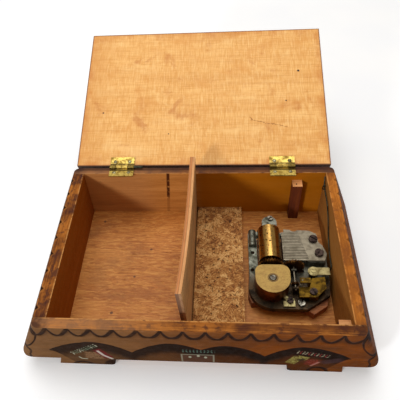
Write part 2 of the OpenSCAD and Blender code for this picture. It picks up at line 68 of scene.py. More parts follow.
class Graph:
    """A node material. Every method returns a socket, and takes sockets or constants."""

    def __init__(self, name):
        self.mat = bpy.data.materials.new(name)
        self.mat.use_nodes = True
        self.tree = self.mat.node_tree
        self.tree.nodes.clear()
        self.shader = self.add("ShaderNodeBsdfPrincipled")
        out = self.add("ShaderNodeOutputMaterial")
        self.tree.links.new(self.shader.outputs[0], out.inputs[0])

    def add(self, kind, **props):
        n = self.tree.nodes.new(kind)
        for k, v in props.items():
            setattr(n, k, v)
        return n

    def put(self, socket, value):
        if isinstance(value, bpy.types.NodeSocket):
            self.tree.links.new(value, socket)
        elif value is not None:
            socket.default_value = value

    def set(self, **values):
        for k, v in values.items():
            self.put(self.shader.inputs[k.replace("_", " ")], v)

    def m(self, op, a, b=None, c=None, clamp=False):
        n = self.add("ShaderNodeMath", operation=op, use_clamp=clamp)
        for i, v in enumerate((a, b, c)):
            self.put(n.inputs[i], v)
        return n.outputs[0]

    def v(self, op, a, b=None, c=None, scale=None):
        n = self.add("ShaderNodeVectorMath", operation=op)
        for i, val in enumerate((a, b, c)):
            self.put(n.inputs[i], val)
        self.put(n.inputs["Scale"], scale) if scale is not None else None
        return n.outputs[1] if op in ("LENGTH", "DISTANCE", "DOT_PRODUCT") else n.outputs[0]

    def xyz(self, vec):
        n = self.add("ShaderNodeSeparateXYZ")
        self.put(n.inputs[0], vec)
        return n.outputs[0], n.outputs[1], n.outputs[2]

    def vec(self, x=0.0, y=0.0, z=0.0):
        n = self.add("ShaderNodeCombineXYZ")
        for i, val in enumerate((x, y, z)):
            self.put(n.inputs[i], val)
        return n.outputs[0]

    def case(self):
        """Place in the case's frame, in millimetres."""
        t = self.add("ShaderNodeTexCoord").outputs["Object"]
        return self.v("MULTIPLY_ADD", t, (1000, 1000, 1000), (-CASE_X, CASE_Y, 0))

    def normal(self):
        return self.add("ShaderNodeTexCoord").outputs["Normal"]

    def noise(self, vec, scale=1.0, detail=4.0, rough=0.55, twist=0.0):
        n = self.add("ShaderNodeTexNoise")
        self.put(n.inputs["Vector"], vec)
        self.put(n.inputs["Scale"], scale)
        self.put(n.inputs["Detail"], detail)
        self.put(n.inputs["Roughness"], rough)
        self.put(n.inputs["Distortion"], twist)
        return n.outputs[0]

    def cells(self, vec, scale=1.0, feature="F1", out="Distance"):
        n = self.add("ShaderNodeTexVoronoi", feature=feature)
        self.put(n.inputs["Vector"], vec)
        self.put(n.inputs["Scale"], scale)
        return n.outputs[out]

    def step(self, x, a, b, lo=0.0, hi=1.0):
        """Smooth step of x from a to b."""
        n = self.add("ShaderNodeMapRange", interpolation_type="SMOOTHSTEP")
        for i, val in enumerate((x, a, b, lo, hi)):
            self.put(n.inputs[i], val)
        return n.outputs[0]

    def ramp(self, x, *stops):
        n = self.add("ShaderNodeValToRGB")
        while len(n.color_ramp.elements) < len(stops):
            n.color_ramp.elements.new(0.5)
        for e, (at, colour) in zip(n.color_ramp.elements, stops):
            e.position = at
            e.color = colour
        self.put(n.inputs[0], x)
        return n.outputs[0]

    def mix(self, fac, a, b, mode="MIX"):
        n = self.add("ShaderNodeMix", data_type="RGBA", blend_type=mode)
        self.put(n.inputs[0], fac)
        self.put(n.inputs[6], a)
        self.put(n.inputs[7], b)
        return n.outputs[2]

    def bump(self, height, mm_high, normal=None):
        n = self.add("ShaderNodeBump")
        self.put(n.inputs["Height"], height)
        self.put(n.inputs["Distance"], mm_high / 1000)
        self.put(n.inputs["Normal"], normal)
        return n.outputs[0]

    # masks
    def all(self, *masks):
        out = masks[0]
        for k in masks[1:]:
            out = self.m("MULTIPLY", out, k)
        return out

    def any(self, *masks):
        out = masks[0]
        for k in masks[1:]:
            out = self.m("MAXIMUM", out, k)
        return out

    def band(self, x, lo, hi, soft):
        """1 between lo and hi."""
        return self.m("MULTIPLY", self.step(x, lo - soft, lo + soft),
                      self.step(x, hi - soft, hi + soft, 1.0, 0.0))

    def near(self, x, width, soft):
        """1 where |x| is under width."""
        return self.step(self.m("ABSOLUTE", x), width, width + soft, 1.0, 0.0)

    def stripe(self, x, z, a, b, width, soft=0.4):
        """A straight stroke from a to b."""
        ax, az = a
        d = Vector((b[0] - ax, b[1] - az))
        length = d.length
        d /= length
        rx, rz = self.m("SUBTRACT", x, ax), self.m("SUBTRACT", z, az)
        along = self.m("ADD", self.m("MULTIPLY", rx, d.x), self.m("MULTIPLY", rz, d.y))
        across = self.m("SUBTRACT", self.m("MULTIPLY", rx, d.y), self.m("MULTIPLY", rz, d.x))
        return self.all(self.band(along, 0, length, soft), self.near(across, width / 2, soft))

    def spot(self, x, z, at, r, soft=0.3, stretch=1.0):
        p = self.vec(self.m("SUBTRACT", x, at[0]), self.m("MULTIPLY", self.m("SUBTRACT", z, at[1]),
                                                          stretch), 0.0)
        return self.step(self.v("LENGTH", p), r, r + soft, 1.0, 0.0)


def along(g, p, axis):
    """p squeezed along the grain, so that noise runs in streaks along that axis."""
    squeeze = {"x": (0.05, 1, 1), "y": (1, 0.05, 1), "z": (1, 1, 0.05)}[axis]
    return g.v("MULTIPLY", p, squeeze)


def grain(g, p, axis, dark, mid, light, fine=1.0, seed=0.0):
    """Wood colour and a height for the bump: growth streaks, fibres and open pores."""
    q = g.v("ADD", along(g, p, axis), (seed, seed * 1.7, seed * 0.6))
    streak = g.noise(q, 0.16 * fine, 5, 0.6, 1.2)
    fibre = g.noise(q, 1.6 * fine, 6, 0.7)
    pore = g.noise(q, 4.2 * fine, 2, 0.5)
    tone = g.m("ADD", g.m("MULTIPLY", streak, 0.62), g.m("MULTIPLY", fibre, 0.38))
    colour = g.ramp(tone, (0.34, dark), (0.5, mid), (0.64, light))
    pores = g.step(pore, 0.36, 0.27)
    colour = g.mix(g.m("MULTIPLY", pores, 0.35), colour, dark)
    height = g.m("SUBTRACT", fibre, g.m("MULTIPLY", pores, 0.6))
    return colour, height


def scallops(g, run, depth, pitch, start, hang, line, wobble, skew=0.0):
    """Burned arcs that hang from an edge. Returns the line and the scorch below it."""
    t = g.m("FRACT", g.m("DIVIDE", g.m("SUBTRACT", run, start), pitch))
    u = g.m("MULTIPLY_ADD", t, 2.0, -1.0)
    u = g.m("ADD", u, g.m("MULTIPLY", g.m("SUBTRACT", 1.0, g.m("MULTIPLY", u, u)), skew))
    side = g.m("ABSOLUTE", u)
    sag = g.m("MULTIPLY", g.m("SUBTRACT", 1.0, g.m("POWER", side, 2.3)), hang)
    sag = g.m("MULTIPLY", sag, g.m("MULTIPLY_ADD", wobble, 0.3, 0.85))
    slope = g.m("SQRT", g.m("MULTIPLY_ADD", g.m("MULTIPLY", u, u), (2.2 * hang / pitch * 2) ** 2, 1.0))
    off = g.m("DIVIDE", g.m("SUBTRACT", depth, sag), slope)
    half = g.m("MULTIPLY_ADD", g.m("MULTIPLY", u, u), -0.2 * line, 0.56 * line)
    arc = g.step(g.m("ABSOLUTE", off), half, g.m("ADD", half, 0.6), 1.0, 0.0)
    cusp = g.all(g.step(side, 0.82, 0.97), g.step(depth, 2.0, 0.6))
    halo = g.all(g.step(off, -0.2, 0.3), g.step(off, 2.6, 0.5))
    return g.any(arc, cusp), halo


def foot_arcs(g, x, z, wobble):
    out = None
    for cx, cz, rx, rz in ((-60.2, -1.2, 5.0, 4.4), (60.6, 0.4, 4.6, 5.0)):
        r = g.v("LENGTH", g.vec(g.m("DIVIDE", g.m("SUBTRACT", x, cx), rx),
                                g.m("DIVIDE", g.m("SUBTRACT", z, cz), rz), 0.0))
        off = g.m("SUBTRACT", g.m("ADD", r, g.m("MULTIPLY", g.m("SUBTRACT", wobble, 0.5), 0.15)), 1.0)
        ring = g.near(off, 0.14, 0.12)
        out = ring if out is None else g.any(out, ring)
    for cx, cz in ((-42.2, 0.8), (45.0, 0.4)):
        reach = g.v("LENGTH", g.vec(g.m("SUBTRACT", x, cx), g.m("SUBTRACT", z, cz), 0.0))
        out = g.any(out, g.step(reach, 7.4 if cx < 0 else 3.4, 5.4 if cx < 0 else 2.2))
    return out


# Humps of the stained band's upper edge: middle, reach to the left, reach to the right, height.
WAVE_HUMPS = ((-51, 24.5, 18.8, 11.0), (-12, 20, 20, 11.7), (14.5, 17, 19, 10.8), (51.2, 17.8, 23.2, 11.8))
WAVE_FOOT = 17.4


def wave_top(g, x):
    """Height of the band's upper edge: the highest of four rounded humps."""
    out = None
    for middle, left, right, height in WAVE_HUMPS:
        off = g.m("SUBTRACT", x, middle)
        u = g.m("MAXIMUM", g.m("DIVIDE", off, right), g.m("DIVIDE", off, -left))
        rise = g.m("MULTIPLY", g.m("SUBTRACT", 1.0, g.m("POWER", u, 1.8)), height)
        out = rise if out is None else g.m("MAXIMUM", out, rise)
    return g.m("ADD", out, WAVE_FOOT)


def wave_band(g, x, z, wobble):
    """The stained band with a wavy upper edge. Returns the stain and its darker upper line."""
    top = g.m("ADD", wave_top(g, x), g.m("MULTIPLY", g.m("SUBTRACT", wobble, 0.5), 1.2))
    depth = g.m("SUBTRACT", top, z)
    under = g.m("ADD", g.m("MULTIPLY", g.step(g.m("ABSOLUTE", x), 74.5, 60.0, 0.0, 1.0), -18.0), 16.5)
    inside = g.all(g.step(depth, 0.0, 0.7), g.step(z, g.m("SUBTRACT", under, 0.6), g.m("ADD", under, 0.6)),
                   g.step(g.m("ABSOLUTE", x), 75.0, 74.0))
    edge = g.all(inside, g.step(depth, 2.2, 0.5))
    smear = g.noise(g.v("MULTIPLY", g.vec(x, z, 7.0), (0.16, 0.05, 1)), 1.0, 4, 0.6)
    fade = g.step(g.m("ADD", depth, g.m("MULTIPLY", smear, 10.0)), 12.0, 20.0, 1.0, 0.5)
    return g.m("MULTIPLY", inside, fade), edge


def petal_row(g, x, z, a, b, pitch, tall, seed):
    """Small slanted petals, each with a dot above, along the line from a to b."""
    d = Vector(b) - Vector(a)
    length = d.length
    d /= length
    rx, rz = g.m("SUBTRACT", x, a[0]), g.m("SUBTRACT", z, a[1])
    along_row = g.m("ADD", g.m("MULTIPLY", rx, d.x), g.m("MULTIPLY", rz, d.y))
    across = g.m("SUBTRACT", g.m("MULTIPLY", rz, d.x), g.m("MULTIPLY", rx, d.y))
    place = g.m("DIVIDE", along_row, pitch)
    chance_of = g.add("ShaderNodeTexWhiteNoise", noise_dimensions="1D")
    g.put(chance_of.inputs["W"], g.m("ADD", g.m("FLOOR", place), seed))
    chance = chance_of.outputs["Value"]
    u = g.m("MULTIPLY", g.m("SUBTRACT", g.m("FRACT", place), 0.5), pitch)
    lean = g.m("MULTIPLY", g.m("MULTIPLY_ADD", chance, 1.0, -0.5), across)
    stroke = g.all(g.near(g.m("ADD", u, lean), 0.16, 0.34), g.near(across, 0.3 * tall, 0.4))
    dot = g.step(g.v("LENGTH", g.vec(u, g.m("SUBTRACT", across, 0.75 * tall), 0.0)), 0.55, 0.2)
    return g.all(g.any(stroke, dot), g.band(along_row, 0.0, length, 0.3)), chance


def decorate_front(g, x, z, wood, wobble):
    """Painted ornaments over the stained band; their shapes are plain petals and ribbons."""
    band, edge = wave_band(g, x, z, wobble)
    # Painted light: the band is paler on the left where the key light falls and darker on the right, as in
    # shade.
    side = g.step(x, -50.0, 20.0)
    c = g.mix(g.m("MULTIPLY", band, 0.95), wood, g.mix(side, srgb(32, 18, 11), srgb(10, 4, 1)))
    c = g.mix(g.m("MULTIPLY", edge, 0.7), c, srgb(20, 11, 9))
    white, green, red = srgb(168, 170, 148), srgb(96, 114, 92), srgb(96, 24, 28)
    speck = g.noise(g.vec(x, z, 3.0), 1.1, 3, 0.6)
    worn = g.step(speck, 0.36, 0.5)
    # left: a pale field under a row of petals, a red and a white ribbon
    c = g.mix(g.all(g.stripe(x, z, (-57.0, 12.2), (-48.0, 11.2), 7.6, 0.8), worn), c, srgb(116, 86, 60))
    petals, chance = petal_row(g, x, z, (-63.5, 12.8), (-48.8, 24.0), 1.7, 2.6, 1.0)
    c = g.mix(g.m("MULTIPLY", petals, 0.85), c, g.mix(g.step(chance, 0.5, 0.6), white, green))
    c = g.mix(g.all(g.stripe(x, z, (-50.2, 19.2), (-44.8, 9.2), 4.4, 0.4), worn), c, red)
    for a, b in (((-49.8, 17.9), (-47.5, 12.2)), ((-47.5, 12.2), (-43.3, 7.6))):
        c = g.mix(g.m("MULTIPLY", g.stripe(x, z, a, b, 1.1, 0.4), 0.92), c, srgb(178, 168, 158))
    for a, b in (((-61.0, 9.4), (-59.7, 7.3)), ((-59.7, 7.3), (-56.8, 6.9))):
        c = g.mix(g.m("MULTIPLY", g.stripe(x, z, a, b, 0.4, 0.4), 0.85), c, white)
    # middle: an outlined panel under a row of green leaves
    frame_out = g.all(g.band(x, -7.7, 9.0, 0.25), g.band(z, 7.4, 16.9, 0.25))
    frame_in = g.all(g.band(x, -6.9, 8.2, 0.25), g.band(z, 7.0, 16.1, 0.25))
    c = g.mix(g.m("MULTIPLY", frame_in, 0.6), c, srgb(80, 54, 42))
    c = g.mix(g.m("MULTIPLY", g.m("SUBTRACT", frame_out, frame_in, clamp=True), 0.75), c,
              srgb(134, 130, 112))
    for at in ((-3.2, 13.4), (1.0, 15.0), (4.6, 13.4)):
        c = g.mix(g.m("MULTIPLY", g.spot(x, z, at, 0.5, 0.5, 0.7), 0.75), c, white)
    petals, _ = petal_row(g, x, z, (-7.2, 20.0), (9.2, 20.0), 1.75, 2.4, 5.0)
    c = g.mix(g.m("MULTIPLY", petals, 0.75), c, srgb(84, 106, 94))
    # right: a yellow-green leaf, a row of pale petals and a red petal
    leaf = g.any(g.stripe(x, z, (46.2, 9.6), (49.8, 17.6), 4.6, 0.6),
                 g.stripe(x, z, (49.0, 17.4), (54.2, 15.4), 3.4, 0.6))
    vein = g.near(g.m("SUBTRACT", g.noise(g.vec(x, z, 9.0), 0.55, 3, 0.6), 0.5), 0.015, 0.03)
    c = g.mix(g.all(leaf, g.step(speck, 0.36, 0.5), g.m("SUBTRACT", 1.0, g.m("MULTIPLY", vein, 0.7))), c,
              srgb(138, 130, 68))
    c = g.mix(g.m("MULTIPLY", g.stripe(x, z, (49.6, 13.4), (53.0, 15.2), 1.4, 0.6), 0.85), c,
              srgb(30, 19, 12))
    petals, chance = petal_row(g, x, z, (48.0, 22.8), (63.6, 18.4), 1.4, 2.4, 9.0)
    c = g.mix(g.m("MULTIPLY", petals, 0.75), c, g.mix(g.step(chance, 0.55, 0.65), srgb(158, 146, 122),
                                                      srgb(126, 48, 42)))
    c = g.mix(g.all(g.stripe(x, z, (54.0, 11.6), (60.0, 11.2), 5.0, 1.8), worn,
                    g.m("MULTIPLY", speck, 1.3)), c, srgb(128, 48, 40))
    c = g.mix(g.m("MULTIPLY", g.stripe(x, z, (56.6, 6.8), (60.2, 12.0), 0.6, 0.6), 0.7), c,
              srgb(160, 112, 100))
    c = g.mix(g.m("MULTIPLY", g.stripe(x, z, (61.4, 11.6), (70.5, 15.4), 3.0, 1.6), 0.7), c,
              srgb(62, 42, 44))
    return c


def worn_rim_and_highlights(g, p, grain_axis, run, outer, thick, cusps):
    """The rim: stained in dark patches, rubbed back to orange wood, pale along its inner edge, which is
    partly wear and partly a painted highlight.
    """
    streaks = along(g, p, grain_axis)
    fine = g.noise(streaks, 1.5, 5, 0.7)
    patch = g.noise(g.v("MULTIPLY", p, (0.5, 0.5, 0.5)), 0.14, 5, 0.6, 0.8)
    wear = g.noise(g.v("ADD", g.v("MULTIPLY", p, (0.6, 0.6, 0.6)), (40, 9, 3)), 0.32, 6, 0.7, 0.6)
    tone = g.m("ADD", g.m("MULTIPLY", patch, 0.6), g.m("MULTIPLY", fine, 0.4))
    x, y, z = g.xyz(p)
    rim = g.ramp(tone, (0.38, srgb(78, 44, 34)), (0.47, srgb(116, 68, 34)), (0.54, srgb(150, 90, 38)),
                 (0.62, srgb(176, 108, 46)))
    rim = g.mix(g.step(wear, 0.52, 0.62, 0.0, 0.75), rim, srgb(74, 44, 38))
    if grain_axis == "x":
        rim = g.mix(g.step(x, -30.0, 50.0, 0.0, 0.45), rim, srgb(82, 46, 26))
        rim = g.mix(g.step(x, 0.0, -50.0, 0.0, 0.45), rim, srgb(184, 134, 92))
    inner = g.m("SUBTRACT", thick, outer)
    # Pale line along the inner edge: partly wear, partly a painted highlight on the rounded edge.
    rim = g.mix(g.all(g.step(inner, 0.8, 0.3), g.step(wear, 0.56, 0.46, 0.1, 0.8)), rim, srgb(204, 146, 84))
    rubbed = g.all(g.step(outer, 2.8, 0.8), g.step(fine, 0.48, 0.6), g.step(patch, 0.4, 0.52))
    rim = g.mix(g.m("MULTIPLY", rubbed, 0.55), rim, srgb(190, 122, 56))
    if cusps:
        pitch, start = cusps
        t = g.m("FRACT", g.m("DIVIDE", g.m("SUBTRACT", run, start), pitch))
        u = g.m("ABSOLUTE", g.m("MULTIPLY_ADD", t, 2.0, -1.0))
        reach = g.m("MULTIPLY", g.m("SUBTRACT", g.m("MULTIPLY", u, u), 0.55), 2.6)
        bead = g.m("SUBTRACT", outer, reach)
        # Pale line along each scallop of the outer edge: partly wear, partly a painted highlight.
        rim = g.mix(g.m("MULTIPLY", g.near(g.m("SUBTRACT", bead, 0.8), 0.1, 0.5), 0.3), rim,
                    srgb(176, 118, 60))
        rim = g.mix(g.step(bead, 0.5, -0.3), rim, srgb(30, 16, 10))
    return rim


def stained_case(node, axis, sign, thick):
    """The stained case: burned ornament outside, a worn rim, bare wood inside; light and shade are painted
    into the outside tones, the inner walls and parts of the rim.
    """
    g = Graph("stained_" + node)
    p = g.case()
    x, y, z = g.xyz(p)
    nx, ny, nz = g.xyz(g.normal())
    normal = ny if axis == "y" else nx
    grain_axis = "x" if axis == "y" else "y"
    inside = g.step(g.m("MULTIPLY", normal, float(-sign)), 0.5, 0.7)
    top = g.all(g.step(nz, 0.55, 0.8), g.step(z, RIM - 1.5, RIM - 0.6))
    wobble = g.noise(p, 0.22, 3, 0.5)
    blotch = g.noise(g.v("MULTIPLY", p, (0.5, 1, 1)), 0.08, 4, 0.6, 0.5)
    # Painted light: the greyer, paler tones on the left stand for the cool key light falling from the left,
    # and the amber tones on the right are painted shade. The front board fades from one to the other; the
    # left end wall's outside takes the lit tones and the right end wall's outside the shaded ones.
    left, right = (srgb(106, 74, 44), srgb(124, 88, 54)), (srgb(92, 42, 0), srgb(126, 62, 0))
    if axis == "y":
        side = g.step(x, -64.0, 40.0)
        dark, light = g.mix(side, left[0], right[0]), g.mix(side, left[1], right[1])
    else:
        dark, light = (left if sign < 0 else right)
    wood, height = grain(g, p, grain_axis, srgb(76, 48, 26), srgb(102, 66, 36), srgb(124, 82, 46), 1.1, 3.0)
    wood = g.mix(0.72, wood, dark)
    wood = g.mix(g.step(blotch, 0.42, 0.66, 0.0, 0.55), wood, light)
    wood = g.mix(g.step(g.noise(along(g, p, grain_axis), 0.5, 5, 0.65, 0.6), 0.54, 0.7, 0.0, 0.5), wood,
                 srgb(66, 40, 20))
    if axis == "y":
        depth = g.m("SUBTRACT", RIM - 0.2, z)
        run = g.m("ADD", x, g.step(x, -8.0, -62.0, 0.0, 2.8))
        line, halo = scallops(g, run, depth, FRONT_PITCH, -HALF_W, 7.4, 1.05, wobble,
                              g.step(x, 20.0, -50.0, 0.0, 0.28))
        flare = g.step(x, -1.0, 1.0, FLARE_L / WALL_H, FLARE_R / WALL_H)
        edge_x = g.m("ADD", HALF_W, g.m("MULTIPLY", g.m("SUBTRACT", RIM, z), flare))
        inward = g.m("SUBTRACT", edge_x, g.m("ABSOLUTE", x))
        inward = g.m("SUBTRACT", inward, g.step(z, 12.0, 7.0, 0.0, 3.0))
        for mid, half, bulge in ((29.8, 9.6, 4.4), (13.2, 6.4, 4.8)):
            across = g.m("DIVIDE", inward, bulge)
            r = g.v("LENGTH", g.vec(across, g.m("DIVIDE", g.m("SUBTRACT", z, mid), half), 0.0))
            off = g.m("SUBTRACT", g.m("ADD", r, g.m("MULTIPLY", g.m("SUBTRACT", wobble, 0.5), 0.12)), 1.0)
            line = g.any(line, g.near(off, 0.06, 0.09))
        line = g.any(line, foot_arcs(g, x, z, wobble))
        wood = g.mix(g.m("MULTIPLY", halo, 0.5), wood, srgb(46, 27, 18))
        rubbed = g.all(g.step(depth, 4.0, 0.5), g.step(g.noise(along(g, p, "x"), 1.0, 4, 0.6), 0.45, 0.65))
        # The rubbed wear is real; its colour is painted light, greyer on the left where the key light falls
        # and amber on the right.
        wood = g.mix(g.m("MULTIPLY", rubbed, 0.45), wood, g.mix(side, srgb(142, 98, 60), srgb(146, 84, 34)))
        wood = decorate_front(g, x, z, wood, wobble) if sign < 0 else wood
        outer = g.m("SUBTRACT", HALF_D, g.m("MULTIPLY", y, float(sign)))
        corner = g.m("SUBTRACT", HALF_W, g.m("ABSOLUTE", x))
        rim = worn_rim_and_highlights(g, p, "x", x, outer, thick, None)
    else:
        slant = g.m("MULTIPLY", g.m("SUBTRACT", RIM - 0.2, z), 1.09)
        line, halo = scallops(g, y, slant, END_PITCH, -HALF_D, 6.4, 1.0, wobble)
        wood = g.mix(g.m("MULTIPLY", halo, 0.5), wood, srgb(46, 27, 18))
        outer = g.m("SUBTRACT", HALF_W, g.m("MULTIPLY", x, float(sign)))
        corner = g.m("SUBTRACT", HALF_D, g.m("ABSOLUTE", y))
        rim = worn_rim_and_highlights(g, p, "y", y, outer, thick, (END_PITCH, -HALF_D))
        if sign > 0:
            rim = g.mix(0.3, rim, srgb(206, 124, 44))
    wood = g.mix(g.m("MULTIPLY", line, g.step(wobble, 0.3, 0.6, 0.75, 0.95)), wood, srgb(32, 17, 11))
    # dark smoke in the corners of the rim
    smoke = g.all(g.step(corner, 9.0, 3.0), g.step(wobble, 0.35, 0.55, 0.3, 0.8))
    rim = g.mix(smoke, rim, srgb(58, 36, 32))
    if node == "back_board":
        rim = g.mix(0.4, rim, srgb(116, 82, 64))
        rim = g.mix(g.step(outer, 3.4, 1.4, 0.0, 0.75), rim, srgb(58, 38, 34))
    # bare inside, with painted shade and light on the end walls and the back wall
    bare, _ = grain(g, p, grain_axis, srgb(156, 98, 44), srgb(184, 122, 60), srgb(204, 142, 76), 0.9, 17.0)
    # Painted shade: the left end wall's inside faces away from the key light and is darkened to deep amber.
    # Painted light: the right end wall's inside is toned greyer, as where the cool light falls.
    if axis == "x" and sign < 0:
        bare = g.mix(0.8, bare, srgb(128, 62, 2))
    elif axis == "x":
        bare = g.mix(0.6, bare, srgb(126, 86, 40))
    if node == "back_board":
        tilt = g.m("ADD", g.m("SUBTRACT", x, -20.4), g.m("MULTIPLY", g.m("SUBTRACT", z, 28.0), -0.06))
        streak = g.all(g.near(tilt, 0.6, 0.6), g.step(z, 19.0, 25.0, 0.3, 1.0),
                       g.step(g.noise(p, 0.5, 4, 0.6), 0.3, 0.5))
        bare = g.mix(g.m("MULTIPLY", streak, 0.92), bare, srgb(58, 20, 14))
        # Painted shade: the back wall to the right of the divider is tinted deep amber, as in the divider's
        # shadow.
        painted_divider_shade = g.step(x, -6.0, 2.0, 0.0, 0.85)
        bare = g.mix(painted_divider_shade, bare, srgb(172, 100, 0))
        # Painted light: toward the left end the back wall is greyer and paler, as where the key light
        # falls.
        bare = g.mix(g.step(x, -22.0, -40.0, 0.0, 0.4), bare, srgb(180, 128, 84))
    colour = g.mix(inside, wood, bare)
    colour = g.mix(top, colour, rim)
    colour = g.mix(g.step(nz, -0.7, -0.9, 0.0, 0.7), colour, srgb(96, 68, 44))
    rough = g.step(g.noise(p, 0.3, 3, 0.5), 0.3, 0.7, 0.5, 0.66)
    burn = g.m("MULTIPLY", g.all(line, g.m("SUBTRACT", 1.0, inside), g.m("SUBTRACT", 1.0, top)), -1.5)
    g.set(Base_Color=colour, Roughness=rough, Normal=g.bump(g.m("ADD", height, burn), 0.16))
    g.shader.inputs["Specular IOR Level"].default_value = 0.02
    return g.mat


def plain_wood(name, axis, dark, mid, light, rough=0.62, fine=1.0, seed=0.0, stain=None, stain_amount=0.4):
    g = Graph(name)
    p = g.case()
    colour, height = grain(g, p, axis, dark, mid, light, fine, seed)
    if stain:
        blot = g.noise(g.v("MULTIPLY", p, (0.6, 1, 1)), 0.05, 5, 0.62, 0.4)
        colour = g.mix(g.step(blot, 0.46, 0.66, 0.0, stain_amount), colour, stain)
    dust = g.noise(p, 1.4, 2, 0.5)
    g.set(Base_Color=colour, Roughness=g.step(dust, 0.3, 0.7, rough - 0.08, rough + 0.08),
          Normal=g.bump(height, 0.14))
    return g.mat


def floor_wood():
    g = Graph("tray_floor")
    p = g.case()
    x, y, z = g.xyz(p)
    colour, height = grain(g, p, "x", srgb(164, 94, 30), srgb(186, 114, 42), srgb(200, 130, 54), 1.5, 23.0)
    flow = g.noise(g.v("MULTIPLY", p, (0.09, 0.5, 1)), 1.0, 6, 0.72, 1.6)
    drift = g.noise(g.v("MULTIPLY", p, (0.6, 1.0, 1)), 0.05, 4, 0.6, 1.0)
    colour = g.mix(g.step(flow, 0.48, 0.6, 0.0, 0.6), colour, srgb(224, 160, 80))
    colour = g.mix(g.step(flow, 0.47, 0.36, 0.0, 0.6), colour, srgb(146, 82, 24))
    colour = g.mix(g.step(drift, 0.5, 0.66, 0.0, 0.4), colour, srgb(216, 148, 68))
    colour = g.mix(g.step(drift, 0.46, 0.34, 0.0, 0.5), colour, srgb(158, 92, 30))
    grime = g.noise(p, 0.045, 5, 0.6)
    colour = g.mix(g.step(grime, 0.52, 0.68, 0.0, 0.35), colour, srgb(136, 80, 28))
    for at, r in (((-62, 40), 0.6), ((-30, 18), 0.5), ((-48, -26), 0.6), ((-24, -34), 0.5),
                  ((31, 33), 0.5), ((-38, -2), 0.4)):
        colour = g.mix(g.m("MULTIPLY", g.spot(x, y, at, r, 0.5), 0.8), colour, srgb(70, 36, 20))
    g.set(Base_Color=colour, Roughness=0.58, Normal=g.bump(height, 0.14))
    return g.mat


def post_wood():
    """Square posts: dark red sides, a pale sawn top with a nail hole."""
    g = Graph("post_pine")
    p = g.case()
    nx, ny, nz = g.xyz(g.normal())
    side, height = grain(g, p, "z", srgb(66, 20, 3), srgb(98, 38, 6), srgb(128, 60, 14), 1.2, 61.0)
    top, _ = grain(g, p, "x", srgb(176, 112, 58), srgb(206, 140, 80), srgb(226, 166, 104), 2.0, 63.0)
    g.set(Base_Color=g.mix(g.step(nz, 0.6, 0.8), side, top), Roughness=0.62, Normal=g.bump(height, 0.14))
    return g.mat


